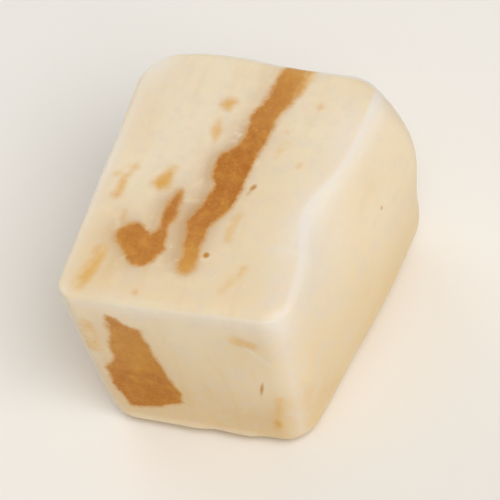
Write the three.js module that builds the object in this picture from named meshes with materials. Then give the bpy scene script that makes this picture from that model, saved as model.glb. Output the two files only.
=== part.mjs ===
// A cut block of soft nougat, resting on its flat base.
// Millimetres, +Z up, front face towards -Y, origin at the middle of the base.

import * as THREE from 'three';
import { mergeVertices } from 'three/addons/utils/BufferGeometryUtils.js';

// Driving dimensions of the block as it was cut from the slab
const HEIGHT = 21;
const HALF_WIDTH = 11.5;
const HALF_DEPTH = 14.8;
const MID_HEIGHT = HEIGHT / 2;

// The four cut sides. Reach is how far a side stands out from the middle, lean is what each
// millimetre of height adds to that, turn what each millimetre along the side adds, twist what
// both add together, and crown is how far the middle of the side swells.
const RIGHT = { reach: 11, lean: 0, turn: 0.08, twist: -0.0065, crown: 1, half: HALF_DEPTH };
const LEFT = { reach: 11.75, lean: 0.05, turn: 0.02, twist: 0.001, crown: 0.3, half: HALF_DEPTH };
const FRONT = { reach: 13.7, lean: 0.055, turn: -0.01, twist: -0.003, crown: 0, half: HALF_WIDTH };
const BACK = { reach: 15.2, lean: 0, turn: 0, twist: 0, crown: 0.4, half: HALF_WIDTH };

// Smooth swells and hollows in the soft sides: where one lies along its side and above the
// base, how far out it pushes the side, and how long and tall it is.
RIGHT.presses = [
  { along: 14, z: 13.5, out: 1.3, length: 9, tall: 6 },
  { along: -1, z: 22, out: -1.9, length: 4.2, tall: 7 },
];
LEFT.presses = [
  { along: -6, z: 4, out: -0.5, length: 5, tall: 6 },
  { along: 7, z: 12, out: 0.4, length: 6, tall: 6 },
];
FRONT.presses = [];
BACK.presses = [
  { along: 10, z: 14, out: 1.5, length: 12, tall: 8 },
  { along: -5, z: 7, out: -0.4, length: 5, tall: 6 },
  { along: -4.5, z: 21, out: 0.7, length: 5.5, tall: 8 },
];

// Rounding at the four corners: of the upright edge, and of the top and base edges meeting there
const FRONT_LEFT = { upright: 1.8, top: 0.5, base: 1.5 };
const FRONT_RIGHT = { upright: 2.8, top: 0.8, base: 2.2 };
const BACK_RIGHT = { upright: 4.2, top: 1.6, base: 5 };
const BACK_LEFT = { upright: 4, top: 1.2, base: 2 };

// Plan places of the corners that the rounding is mixed between
const CORNER_X = 10.5;
const CORNER_Y = 13.5;

// Slow unevenness of the soft skin, as three crossing waves
const WAVE_HEIGHT = 0.05;
const WAVES = [
  { x: 0.42, y: 0.23, z: 0.31, start: 0.6 },
  { x: -0.25, y: 0.51, z: 0.12, start: 2.1 },
  { x: 0.18, y: -0.33, z: 0.47, start: 4.0 },
];

// The cube that the skin starts from, its fineness, and how far its lines crowd towards the edges
const CUBE_SIDE = 2;
const STEPS_WIDE = 22;
const STEPS_DEEP = 28;
const STEPS_TALL = 18;
const CROWDING = 0.6;

// The search for the skin along a line out of the block's middle, as shares of the cut box
const SEARCH_INNER = 0.4;
const SEARCH_OUTER = 1.6;
const SEARCH_HALVINGS = 44;
const FLAT_BELOW = 1e-4;

const CREAM = '#e6d4b4';
const CREAM_ROUGHNESS = 0.55;

const between = (low, high, share) => low + (high - low) * share;

// A side's distance from the middle, at a place along it and a height
function reachOf(side, along, z) {
  const rise = z - MID_HEIGHT;
  const crownShare = (1 - (along / side.half) ** 2) * (1 - (rise / MID_HEIGHT) ** 2);
  const plane = side.reach + side.lean * rise + (side.turn + side.twist * rise) * along;
  const pressed = side.presses.reduce((sum, press) => {
    const offAlong = (along - press.along) / press.length;
    const offHeight = (z - press.z) / press.tall;
    return sum + press.out * Math.exp(-(offAlong ** 2) - offHeight ** 2);
  }, 0);
  return plane + side.crown * crownShare + pressed;
}

// The rounding of one kind of edge at a plan place, mixed from the four corners
function roundingAt(edge, x, y) {
  const share = (value, limit) => (THREE.MathUtils.clamp(value / limit, -1, 1) + 1) / 2;
  const u = share(x, CORNER_X);
  const front = between(FRONT_LEFT[edge], FRONT_RIGHT[edge], u);
  const back = between(BACK_LEFT[edge], BACK_RIGHT[edge], u);
  return between(front, back, share(y, CORNER_Y));
}

// Two surfaces meeting in an edge rounded to a radius; each value is a distance outside its surface
function roundedEdge(first, second, radius) {
  const a = first + radius;
  const b = second + radius;
  return Math.hypot(Math.max(a, 0), Math.max(b, 0)) + Math.min(Math.max(a, b), 0) - radius;
}

function waveAt(x, y, z) {
  return WAVES.reduce((sum, w) => sum + WAVE_HEIGHT * Math.sin(w.x * x + w.y * y + w.z * z + w.start), 0);
}

// How far a point lies outside the block's skin, negative inside
function outside({ x, y, z }) {
  const across = x > 0 ? x - reachOf(RIGHT, y, z) : -x - reachOf(LEFT, y, z);
  const along = y > 0 ? y - reachOf(BACK, x, z) : -y - reachOf(FRONT, x, z);
  const sides = roundedEdge(across, along, roundingAt('upright', x, y));
  const topped = roundedEdge(sides, z - HEIGHT, roundingAt('top', x, y));
  return roundedEdge(topped - waveAt(x, y, z), -z, roundingAt('base', x, y));
}

// The point where a line from the middle, through a point of the starting cube, leaves the block
function skinPoint(cubePoint) {
  const crowd = (s) => between(s, Math.sin((s * Math.PI) / 2), CROWDING);
  const ray = new THREE.Vector3(
    crowd(cubePoint.x) * HALF_WIDTH,
    crowd(cubePoint.y) * HALF_DEPTH,
    crowd(cubePoint.z) * MID_HEIGHT,
  );
  const middle = new THREE.Vector3(0, 0, MID_HEIGHT);
  const point = new THREE.Vector3();
  let inner = SEARCH_INNER;
  let outer = SEARCH_OUTER;
  for (let halving = 0; halving < SEARCH_HALVINGS; halving += 1) {
    const share = (inner + outer) / 2;
    point.copy(middle).addScaledVector(ray, share);
    if (outside(point) < 0) inner = share;
    else outer = share;
  }
  if (point.z < FLAT_BELOW) point.z = 0;
  return point;
}

// The block's skin: a finely divided cube whose points are moved out to where the nougat ends,
// then set with the middle of its base at the origin
function blockGeometry() {
  const cube = new THREE.BoxGeometry(CUBE_SIDE, CUBE_SIDE, CUBE_SIDE, STEPS_WIDE, STEPS_DEEP, STEPS_TALL);
  cube.deleteAttribute('normal');
  cube.deleteAttribute('uv');
  const skin = mergeVertices(cube);
  const places = skin.getAttribute('position');
  const cubePoint = new THREE.Vector3();
  for (let i = 0; i < places.count; i += 1) {
    cubePoint.fromBufferAttribute(places, i);
    const point = skinPoint(cubePoint);
    places.setXYZ(i, point.x, point.y, point.z);
  }
  skin.computeBoundingBox();
  const { min, max } = skin.boundingBox;
  skin.translate(-(min.x + max.x) / 2, -(min.y + max.y) / 2, -min.z);
  skin.computeVertexNormals();
  return skin;
}

const nougat = new THREE.Group();

const block = new THREE.Mesh(
  blockGeometry(),
  new THREE.MeshStandardMaterial({ color: CREAM, roughness: CREAM_ROUGHNESS, metalness: 0 }),
);
block.name = 'nougat_block';
nougat.add(block);

export default nougat;
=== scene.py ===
"""A cut block of soft cream nougat marbled with toffee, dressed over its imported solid.

The block's form, relief and marbling are worked out in millimetres, in the plan that the block was
drawn in: x to the right and y to the back of the cut top, z up from the base. The finished mesh is in
metres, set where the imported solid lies. Lights, floor and camera are in metres.
"""

import itertools
import logging
import math
from collections.abc import Mapping, Sequence
from dataclasses import dataclass, field
from enum import Enum
from typing import Any

import bpy
import numpy as np
from mathutils import Matrix, Vector


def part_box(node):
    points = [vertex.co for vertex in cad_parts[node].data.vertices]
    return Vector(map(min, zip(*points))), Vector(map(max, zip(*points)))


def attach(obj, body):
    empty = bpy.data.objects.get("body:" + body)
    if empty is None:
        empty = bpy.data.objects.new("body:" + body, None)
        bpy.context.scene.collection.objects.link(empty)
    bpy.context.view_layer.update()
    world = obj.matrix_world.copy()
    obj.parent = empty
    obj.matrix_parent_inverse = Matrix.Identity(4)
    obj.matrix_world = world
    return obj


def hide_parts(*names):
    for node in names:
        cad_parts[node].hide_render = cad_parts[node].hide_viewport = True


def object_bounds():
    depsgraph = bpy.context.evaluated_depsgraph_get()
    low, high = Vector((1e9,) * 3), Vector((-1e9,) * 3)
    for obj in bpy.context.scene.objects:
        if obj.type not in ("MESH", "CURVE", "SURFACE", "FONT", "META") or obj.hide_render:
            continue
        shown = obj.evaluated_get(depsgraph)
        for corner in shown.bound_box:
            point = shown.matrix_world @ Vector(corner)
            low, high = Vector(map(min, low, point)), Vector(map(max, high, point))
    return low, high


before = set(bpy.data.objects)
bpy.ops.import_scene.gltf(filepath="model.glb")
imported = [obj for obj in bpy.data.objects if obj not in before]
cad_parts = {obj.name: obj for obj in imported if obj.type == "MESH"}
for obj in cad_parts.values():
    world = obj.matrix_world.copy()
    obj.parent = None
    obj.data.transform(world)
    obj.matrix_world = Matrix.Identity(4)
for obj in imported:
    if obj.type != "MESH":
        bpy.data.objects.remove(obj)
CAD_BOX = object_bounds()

Array = np.ndarray
Colour = tuple[float, float, float]
Place = tuple[float, float, float]
Spot = tuple[float, float]
Band = tuple[float, float]

LOG = logging.getLogger("nougat")
NODE = "nougat_block"
BODY = "root"
MM = 0.001

# The box that the block was cut as, in millimetres
HEIGHT = 21.0
HALF_WIDTH = 11.5
HALF_DEPTH = 14.8

# How deep short pieces of toffee go, and how strongly they colour the cream
FLECK_DEPTH = 0.8
FLECK_STAIN = 0.25

# The sRGB curve: a straight toe, then a power
SCREEN_MOST = 255
TOE_END = 0.04045
TOE_SLOPE = 12.92
CURVE_OFFSET = 0.055
CURVE_POWER = 2.4

# What a noise node gives on average, and the places of a Mix node's sockets for colours
NOISE_MEAN = 0.5
MIX_SHARE = 0
MIX_FIRST = 6
MIX_SECOND = 7
MIX_RESULT = 2


def linear(red: int, green: int, blue: int) -> Colour:
    """A screen colour of 0 to 255 as linear light, by the sRGB curve.

    Args:
        red: red as a screen shows it.
        green: green as a screen shows it.
        blue: blue as a screen shows it.

    Returns:
        The three values as linear light from 0 to 1.
    """
    shares = np.array((red, green, blue)) / SCREEN_MOST
    curve = ((shares + CURVE_OFFSET) / (1 + CURVE_OFFSET)) ** CURVE_POWER
    return tuple(np.where(shares <= TOE_END, shares / TOE_SLOPE, curve).tolist())


def smoothstep(low: float, high: float, value: Array) -> Array:
    """Goes from 0 at low to 1 at high as 3t squared minus 2t cubed."""
    t = np.clip((value - low) / (high - low), 0, 1)
    return t * t * (3 - 2 * t)


def gaussian(value: Array) -> Array:
    """Falls from 1 at nothing towards 0 as the exponential of minus the square."""
    return np.exp(-(value**2))


def rounded_edge(first: Array, second: Array, radius: Array | float) -> Array:
    """Joins two surfaces in an edge rounded to a radius.

    Both values are moved in by the radius. Where both are then positive their hypotenuse is the
    distance from the edge's axis, and elsewhere the larger one holds. The radius comes off again.

    Args:
        first: distance outside the first surface.
        second: distance outside the second surface.
        radius: radius of the edge.

    Returns:
        Distance outside the joined surface.
    """
    a = first + radius
    b = second + radius
    return np.hypot(np.maximum(a, 0), np.maximum(b, 0)) + np.minimum(np.maximum(a, b), 0) - radius


def along_stretches(plan: Array, starts: Array, runs: Array) -> tuple[Array, Array]:
    """Shares along straight stretches, and offsets from the nearest points on them.

    Args:
        plan: plan points, one row each.
        starts: where each stretch starts.
        runs: how far each stretch goes.

    Returns:
        For each point and stretch, the share of the stretch from 0 to 1, and the offset from it.
    """
    out = plan[:, None, :] - starts
    share = np.clip((out * runs).sum(axis=2) / (runs**2).sum(axis=1), 0, 1)
    return share, out - share[..., None] * runs


@dataclass(frozen=True)
class Fade:
    """A smooth change from 0 at a start to a most at an end, which may lie below the start."""

    start: float
    end: float
    most: float = 1.0

    def at(self, values: Array) -> Array:
        """The change at each value: the most times the smoothstep from start to end."""
        return self.most * smoothstep(self.start, self.end, values)


@dataclass(frozen=True)
class Noise:
    """Smooth noise from a lattice of seeded random values, which repeats after a number of cells."""

    height: float
    cell: float | Place
    seed: int
    period: int = 64

    def at(self, points: Array) -> Array:
        """The noise at each point, up to its height either way.

        A point takes the mean of its cell's eight corners, each weighted by the product of
        smoothsteps of the point's place along the three axes.

        Args:
            points: places, one row each.

        Returns:
            One value for each point.
        """
        lattice = np.random.default_rng(self.seed).uniform(-1, 1, (self.period,) * 3)
        scaled = points / np.asarray(self.cell, float)
        corner = np.floor(scaled).astype(int)
        weight = smoothstep(0, 1, scaled - corner)
        total = np.zeros(len(points))
        for step in itertools.product((0, 1), repeat=3):
            place = (corner + step) % self.period
            share = np.where(step, weight, 1 - weight).prod(axis=1)
            total += share * lattice[place[:, 0], place[:, 1], place[:, 2]]
        return self.height * total


@dataclass(frozen=True)
class Press:
    """A smooth swell or hollow in a side: where it lies along the side and above the base."""

    along: float
    z: float
    out: float
    length: float
    tall: float

    def push(self, along: Array, z: Array) -> Array:
        """How far it pushes the side out, as a Gaussian hump of its length and height."""
        return self.out * gaussian((along - self.along) / self.length) * gaussian((z - self.z) / self.tall)


@dataclass(frozen=True)
class CutSide:
    """A side of the block: its reach from the middle, its lean, turn and twist, and its crown."""

    reach: float
    half: float
    lean: float = 0.0
    turn: float = 0.0
    twist: float = 0.0
    crown: float = 0.0
    presses: tuple[Press, ...] = ()

    def reach_at(self, along: Array, z: Array, mid_height: float) -> Array:
        """The side's distance from the middle.

        A plane that leans with height and turns and twists along the side, plus a crown that falls
        off as a parabola both ways, plus each press.

        Args:
            along: place along the side.
            z: height above the base.
            mid_height: half the block's height.

        Returns:
            Distance out from the middle at each place.
        """
        rise = z - mid_height
        plane = self.reach + self.lean * rise + (self.turn + self.twist * rise) * along
        crown = self.crown * (1 - (along / self.half) ** 2) * (1 - (rise / mid_height) ** 2)
        return plane + crown + sum(press.push(along, z) for press in self.presses)


@dataclass(frozen=True)
class Corner:
    """Rounding at one corner: of the upright edge and of the top and base edges meeting there."""

    upright: float
    top: float
    base: float


class Edge(Enum):
    """A kind of edge, by its name in a corner."""

    UPRIGHT = "upright"
    TOP = "top"
    BASE = "base"


@dataclass(frozen=True)
class Wave:
    """One slow wave of the soft skin, in radians for each millimetre, with its start."""

    x: float
    y: float
    z: float
    start: float

    def height(self, points: Array) -> Array:
        """The wave's sine at each point."""
        return np.sin(points @ np.array((self.x, self.y, self.z)) + self.start)


@dataclass(frozen=True)
class BlockForm:
    """The block's form as a field of distances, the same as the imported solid's."""

    height: float = HEIGHT
    half_width: float = HALF_WIDTH
    half_depth: float = HALF_DEPTH
    right: CutSide = CutSide(
        reach=11.0,
        half=HALF_DEPTH,
        turn=0.08,
        twist=-0.0065,
        crown=1.0,
        presses=(
            Press(along=14.0, z=13.5, out=1.3, length=9.0, tall=6.0),
            Press(along=-1.0, z=22.0, out=-1.9, length=4.2, tall=7.0),
        ),
    )
    left: CutSide = CutSide(
        reach=11.75,
        half=HALF_DEPTH,
        lean=0.05,
        turn=0.02,
        twist=0.001,
        crown=0.3,
        presses=(
            Press(along=-6.0, z=4.0, out=-0.5, length=5.0, tall=6.0),
            Press(along=7.0, z=12.0, out=0.4, length=6.0, tall=6.0),
        ),
    )
    front: CutSide = CutSide(reach=13.7, half=HALF_WIDTH, lean=0.055, turn=-0.01, twist=-0.003)
    back: CutSide = CutSide(
        reach=15.2,
        half=HALF_WIDTH,
        crown=0.4,
        presses=(
            Press(along=10.0, z=14.0, out=1.5, length=12.0, tall=8.0),
            Press(along=-5.0, z=7.0, out=-0.4, length=5.0, tall=6.0),
            Press(along=-4.5, z=21.0, out=0.7, length=5.5, tall=8.0),
        ),
    )
    front_left: Corner = Corner(upright=1.8, top=0.5, base=1.5)
    front_right: Corner = Corner(upright=2.8, top=0.8, base=2.2)
    back_right: Corner = Corner(upright=4.2, top=1.6, base=5.0)
    back_left: Corner = Corner(upright=4.0, top=1.2, base=2.0)
    corner_x: float = 10.5
    corner_y: float = 13.5
    wave_height: float = 0.05
    waves: tuple[Wave, ...] = (
        Wave(0.42, 0.23, 0.31, 0.6),
        Wave(-0.25, 0.51, 0.12, 2.1),
        Wave(0.18, -0.33, 0.47, 4.0),
    )
    search: Band = (0.4, 1.6)
    halvings: int = 44
    slope_reach: float = 0.02

    @property
    def middle(self) -> Array:
        """The point inside the block that lines to the skin start from."""
        return np.array((0, 0, self.height / 2))

    @property
    def cut_box(self) -> Array:
        """Half sizes of the box that the block was cut as."""
        return np.array((self.half_width, self.half_depth, self.height / 2))

    def rounding(self, edge: Edge, points: Array) -> Array:
        """Radius of one kind of edge at a plan place, mixed both ways between the corners.

        Args:
            edge: the kind of edge.
            points: places, one row each.

        Returns:
            Radius at each place.
        """
        corners = (self.front_left, self.front_right, self.back_left, self.back_right)
        front_left, front_right, back_left, back_right = (getattr(corner, edge.value) for corner in corners)
        u = (np.clip(points[:, 0] / self.corner_x, -1, 1) + 1) / 2
        v = (np.clip(points[:, 1] / self.corner_y, -1, 1) + 1) / 2
        front = front_left * (1 - u) + front_right * u
        back = back_left * (1 - u) + back_right * u
        return front * (1 - v) + back * v

    def surfaces(self, points: Array) -> tuple[Array, Array, Array, Array]:
        """Distances outside the nearer left or right side, the nearer front or back, the top and the base.

        Args:
            points: places, one row each.

        Returns:
            Four distances for each point, negative inside.
        """
        x, y, z = points.T
        mid = self.height / 2
        across = np.where(x > 0, x - self.right.reach_at(y, z, mid), -x - self.left.reach_at(y, z, mid))
        along = np.where(y > 0, y - self.back.reach_at(x, z, mid), -y - self.front.reach_at(x, z, mid))
        return across, along, z - self.height, -z

    def outside(self, points: Array) -> Array:
        """How far each point lies outside the skin, negative inside.

        The sides meet in rounded uprights, then the top in a rounded edge. Slow waves move that skin,
        and the flat base closes it in a last rounded edge.

        Args:
            points: places, one row each.

        Returns:
            One distance for each point.
        """
        across, along, over, under = self.surfaces(points)
        sides = rounded_edge(across, along, self.rounding(Edge.UPRIGHT, points))
        topped = rounded_edge(sides, over, self.rounding(Edge.TOP, points))
        wavy = topped - self.wave_height * sum(wave.height(points) for wave in self.waves)
        return rounded_edge(wavy, under, self.rounding(Edge.BASE, points))

    def skin(self, cube_points: Array, crowding: float) -> Array:
        """The points where lines from the middle through a cube's points leave the block.

        A cube coordinate s moves towards sin(s pi / 2), which crowds the lines at the edges, and is
        scaled to the cut box. The distance along the line is then found by halving.

        Args:
            cube_points: points on the cube from -1 to 1, one row each.
            crowding: share of the sine in each coordinate.

        Returns:
            Points on the skin.
        """
        crowded = cube_points + (np.sin(cube_points * math.pi / 2) - cube_points) * crowding
        rays = crowded * self.cut_box
        inner, outer = (np.full(len(rays), end) for end in self.search)
        for _ in range(self.halvings):
            share = (inner + outer) / 2
            inside = self.outside(self.middle + rays * share[:, None]) < 0
            inner = np.where(inside, share, inner)
            outer = np.where(inside, outer, share)
        return self.middle + rays * outer[:, None]

    def normals(self, points: Array) -> Array:
        """Outward directions of the skin, from the field's central differences over a small reach.

        Args:
            points: skin points, one row each.

        Returns:
            One unit vector for each point.
        """
        steps = np.eye(3) * self.slope_reach
        slope = np.stack([self.outside(points + s) - self.outside(points - s) for s in steps], axis=1)
        return slope / np.linalg.norm(slope, axis=1, keepdims=True)

    def from_edges(self, points: Array) -> tuple[Array, Array]:
        """Millimetres past the top's edge, negative in on the top, and from the nearest upright edge."""
        # A point by an upright edge is near two sides at once, so its larger depth behind them counts
        across, along, over, _ = self.surfaces(points)
        return np.maximum(across, along) - over, -np.minimum(across, along)


class Face(Enum):
    """A face that toffee lies in: its two axes, its inward axis, its outward sign and its place."""

    TOP = (0, 1, 2, 1, HEIGHT)
    BASE = (0, 1, 2, -1, 0.0)
    FRONT = (0, 2, 1, -1, -14.0)
    BACK = (0, 2, 1, 1, 16.0)
    LEFT = (1, 2, 0, -1, -12.0)

    def flatten(self, points: Array) -> tuple[Array, Array, Array]:
        """The points' two places in the face and their depth behind it."""
        first, second, inward, sign, place = self.value
        return points[:, first], points[:, second], sign * (place - points[:, inward])


@dataclass(frozen=True)
class ToffeePiece:
    """A piece of toffee in a face.

    Depth is how deep it goes, tone how dark it is from 0, pale, over 1, full, and slant how far it
    drifts along the face for each millimetre of depth. Narrowing is what each of its sides has lost
    at full depth, wander how far its outline strays with the marbling's slow noise, and stain how
    strongly it colours the cream round it.
    """

    face: Face
    depth: float
    tone: float = 1.0
    slant: float = 0.0
    narrowing: float = 0.0
    wander: float = 0.0
    stain: float = 0.5

    def beside(self, plan: Array) -> Array:
        """How far each plan point lies outside the piece's outline, negative inside."""
        raise NotImplementedError

    def distance(self, points: Array) -> Array:
        """How far each point lies outside the piece, negative inside.

        The larger of the distance beside its outline, which drifts by the slant and closes in with
        the square of the depth's share, and the distance below its depth.

        Args:
            points: places, one row each.

        Returns:
            One distance for each point.
        """
        u, v, deep = self.face.flatten(points)
        below = np.maximum(deep, 0)
        plan = np.stack((u - self.slant * below, v), axis=1)
        closing = self.narrowing * (below / self.depth) ** 2
        return np.maximum(self.beside(plan) + closing, deep - self.depth)


@dataclass(frozen=True)
class Streak(ToffeePiece):
    """A ribbon of toffee that follows a route of (u, v, half width)."""

    route: tuple[Place, ...] = ()

    def beside(self, plan: Array) -> Array:
        """Distance to the nearest stretch, less the half width, which changes evenly along it.

        Args:
            plan: plan points, one row each.

        Returns:
            One distance for each point, negative inside.
        """
        route = np.array(self.route)
        starts, ends = route[:-1], route[1:]
        share, offset = along_stretches(plan, starts[:, :2], (ends - starts)[:, :2])
        width = starts[:, 2] + share * (ends - starts)[:, 2]
        return (np.linalg.norm(offset, axis=2) - width).min(axis=1)


@dataclass(frozen=True)
class Patch(ToffeePiece):
    """A flat piece of toffee inside an outline of straight stretches."""

    outline: tuple[Spot, ...] = ()

    def beside(self, plan: Array) -> Array:
        """Distance to the outline's nearest stretch, negative inside.

        A point is inside where a level line from it crosses the outline an odd number of times.

        Args:
            plan: plan points, one row each.

        Returns:
            One distance for each point.
        """
        starts = np.array(self.outline)
        runs = np.roll(starts, -1, axis=0) - starts
        _, offset = along_stretches(plan, starts, runs)
        near = np.linalg.norm(offset, axis=2).min(axis=1)
        u, v = plan[:, :1], plan[:, 1:]
        low, high = starts[:, 1], starts[:, 1] + runs[:, 1]
        rise = np.where(runs[:, 1] == 0, 1, runs[:, 1])
        meets = starts[:, 0] + (v - low) / rise * runs[:, 0]
        crossings = (((low > v) != (high > v)) & (u < meets)).sum(axis=1)
        return np.where(crossings % 2 == 1, -near, near)


def streaks(
    face: Face, *rows: tuple[float, float, tuple[Place, ...]], depth: float, wander: float = 0.0
) -> tuple[Streak, ...]:
    """Streaks of one depth in a face.

    Args:
        face: the face they lie in.
        rows: the tone, the stain and the route of each.
        depth: how deep they go.
        wander: how far their outlines stray.

    Returns:
        The streaks, in the rows' order.
    """
    return tuple(
        Streak(face, depth, tone, wander=wander, stain=stain, route=route) for tone, stain, route in rows
    )


def flecks(
    face: Face, *rows: tuple[Spot, Spot, float] | tuple[Spot, Spot, float, float]
) -> tuple[Streak, ...]:
    """Short shallow streaks with two round ends.

    Args:
        face: the face they lie in.
        rows: the plan places of each one's ends, its half width and, where it needs one, its tone.

    Returns:
        The streaks, in the rows' order.
    """
    return tuple(
        Streak(face, FLECK_DEPTH, *tone, stain=FLECK_STAIN, route=((*start, half), (*end, half)))
        for start, end, half, *tone in rows
    )


@dataclass(frozen=True)
class Blush:
    """A wide soft area of another shade, which takes from the shade where its share is below nothing."""

    middle: Place
    reach: Place
    share: float

    def at(self, points: Array) -> Array:
        """Its share at each point, falling off as a Gaussian of its reach along each axis."""
        return self.share * gaussian((points - np.array(self.middle)) / np.array(self.reach)).prod(axis=1)


@dataclass(frozen=True)
class Marbling:
    """The toffee in the block: clear pieces, veils where a breath of it shows, and blushes, some of them
    painted shade.

    Over the tone's reach two pieces' tones blend, and over the stain's reach a piece colours the cream
    round it. The cream's warm tint has a base and a cloud of its own, plus painted warm shade towards
    the foot and painted warm bounce light on the front.
    """

    ragged: tuple[Noise, ...] = (Noise(0.22, 1.3, 11), Noise(0.1, 0.55, 12))
    wander: Noise = Noise(1.0, 2.6, 14)
    veil_ragged: Noise = Noise(0.2, 1.1, 13)
    veil_border: Fade = Fade(0.7, -0.1)
    tone_reach: float = 0.6
    stain_reach: float = 0.9
    stain_shift: Place = (0.5, 0.0, 0.0)
    cloud: Noise = Noise(0.2, 5.0, 15)
    warm_base: float = 0.18
    # Painted warm shade rising towards the foot, and painted warm bounce light on the front
    foot: Fade = Fade(15.0, 0.0, 0.3)
    front: Fade = Fade(4.0, -14.0, 0.2)
    pieces: tuple[ToffeePiece, ...] = (
        # The long stripe over the top, which goes on down the back: pale at both ends and dark amid
        Streak(
            Face.TOP,
            depth=9.0,
            tone=0.7,
            slant=-0.22,
            narrowing=1.5,
            stain=0.15,
            route=((2.65, 17.5, 1.25), (2.3, 14.1, 1.27)),
        ),
        *streaks(
            Face.TOP,
            (0.96, 0.15, ((2.3, 14.3, 1.27), (2.15, 12.7, 1.3), (1.95, 11.4, 1.35))),
            (0.97, 0.15, ((2.05, 11.8, 1.35), (1.3, 8.9, 1.33), (1.1, 5.8, 1.15))),
            (1.25, 0.5, ((1.15, 6.6, 1.15), (1.0, 5.2, 1.15), (0.25, 2.95, 1.85), (0.2, 2.0, 1.8),
                         (0.6, 0.4, 1.4), (0.3, -1.6, 1.4), (-0.4, -3.3, 1.2))),
            (1.06, 0.5, ((-0.4, -3.3, 1.2), (-0.8, -4.4, 1.15), (-0.5, -6.0, 0.95))),
            (0.84, 0.5, ((-0.6, -5.6, 0.95), (-0.4, -8.2, 0.95))),
            (0.52, 0.5, ((-0.4, -8.4, 0.95), (-0.35, -9.1, 0.95))),
            depth=3.0,
        ),
        # A thin pale fringe on its right, and the hook on its left
        *streaks(Face.TOP, (0.3, 0.1, ((3.8, 17.2, 0.5), (3.4, 12.7, 0.45), (2.8, 9.6, 0.05))), depth=1.5),
        *streaks(
            Face.TOP,
            (1.0, 0.5, ((-3.75, -0.9, 0.2), (-3.95, -2.4, 0.75), (-3.9, -5.4, 0.65),
                        (-4.2, -7.6, 1.15), (-4.9, -8.5, 1.5), (-6.7, -6.6, 1.45))),
            depth=1.6,
        ),
        # The slanting patch on the front, notched on its left and darker at its foot
        *(
            Patch(Face.FRONT, depth=3.0, tone=tone, wander=0.15, stain=0.12, outline=outline)
            for tone, outline in (
                (0.92, ((-7.1, 18.6), (-4.1, 16.7), (-3.4, 10.7), (-3.2, 8.0),
                        (-9.0, 8.0), (-8.1, 11.2), (-7.6, 16.6))),
                (1.25, ((-3.5, 11.6), (-2.4, 4.8), (-5.3, 3.5), (-8.3, 3.0),
                        (-9.2, 5.6), (-9.35, 9.2), (-8.3, 10.6), (-6.4, 10.2))),
            )
        ),
        # Streaks on the left, the back and the base
        *streaks(
            Face.LEFT,
            (1.0, 0.5, ((9.2, 1.6, 0.6), (7.4, 5.4, 1.4), (6.5, 9.6, 1.7),
                        (7.1, 13.0, 1.1), (5.4, 17.2, 0.3))),
            (1.0, 0.5, ((-9.4, 2.8, 0.8), (-7.4, 4.8, 1.6), (-5.8, 6.8, 0.7))),
            depth=2.5,
            wander=0.5,
        ),
        *streaks(
            Face.LEFT,
            (0.75, 0.5, ((-7.0, 14.4, 0.4), (-4.2, 12.6, 1.1), (-1.2, 13.2, 0.4))),
            depth=2.0,
            wander=0.4,
        ),
        *streaks(
            Face.BACK,
            (1.0, 0.5, ((-8.4, 15.6, 0.4), (-6.4, 11.4, 1.4), (-5.6, 7.6, 1.1), (-3.2, 4.4, 0.3))),
            (0.9, 0.5, ((4.4, 3.8, 0.8), (6.4, 6.0, 1.6), (7.4, 8.6, 0.6))),
            depth=2.5,
            wander=0.5,
        ),
        *streaks(
            Face.BASE,
            (1.0, 0.5, ((-6.0, -8.0, 0.9), (-4.2, -3.0, 1.5), (-3.6, 3.0, 1.2), (-1.0, 8.0, 0.5))),
            depth=1.5,
            wander=0.5,
        ),
        *streaks(Face.BASE, (0.85, 0.5, ((4.4, -4.0, 1.3), (5.6, -1.0, 0.9))), depth=1.5, wander=0.4),
        # Small flecks on the top, and a few on the other sides
        *(
            Patch(Face.TOP, FLECK_DEPTH, tone=tone, stain=stain, outline=outline)
            for tone, stain, outline in (
                (0.25, 0.2, ((-6.65, -0.35), (-5.6, 1.3), (-5.2, 0.7), (-5.15, -0.55), (-6.0, -0.9))),
                (0.2, 0.1, ((-3.35, 9.75), (-2.9, 10.5), (-2.1, 10.4), (-2.45, 9.45))),
            )
        ),
        *streaks(
            Face.TOP,
            (0.1, 0.1, ((-2.95, 7.9, 0.0), (-2.8, 7.0, 0.3), (-2.5, 5.3, 0.0))),
            (0.25, 0.2, ((-9.6, -0.7, 0.0), (-9.65, -1.6, 0.25), (-9.65, -2.3, 0.36))),
            (0.1, 0.15, ((-8.7, -9.7, 0.1), (-8.9, -10.8, 0.3), (-9.4, -12.2, 0.2))),
            depth=FLECK_DEPTH,
        ),
        *flecks(
            Face.TOP,
            ((-8.2, -4.0), (-8.1, -5.0), 0.08, 0.2),
            ((-4.1, -13.0), (-4.1, -12.9), 0.15, 0.4),
            ((6.4, 4.0), (6.4, 4.2), 0.0, 0.1),
            ((6.2, 11.1), (6.2, 11.3), 0.0, 0.1),
        ),
        *flecks(Face.FRONT, ((6.9, 3.8), (6.9, 4.2), 0.2, 0.45)),
        *flecks(
            Face.LEFT,
            ((1.6, 7.0), (2.0, 8.6), 0.35, 0.4),
            ((11.0, 15.0), (11.2, 15.6), 0.4, 0.5),
            ((-2.6, 17.2), (-2.0, 17.5), 0.2, 0.35),
            ((4.6, 3.4), (4.9, 2.8), 0.3, 0.5),
        ),
        *flecks(
            Face.BACK,
            ((-1.4, 13.0), (-1.0, 12.2), 0.4, 0.45),
            ((8.6, 13.6), (8.8, 13.0), 0.35, 0.4),
            ((1.8, 8.6), (2.0, 8.0), 0.2, 0.4),
            ((-9.2, 9.8), (-9.0, 9.2), 0.2, 0.4),
        ),
    )
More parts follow.
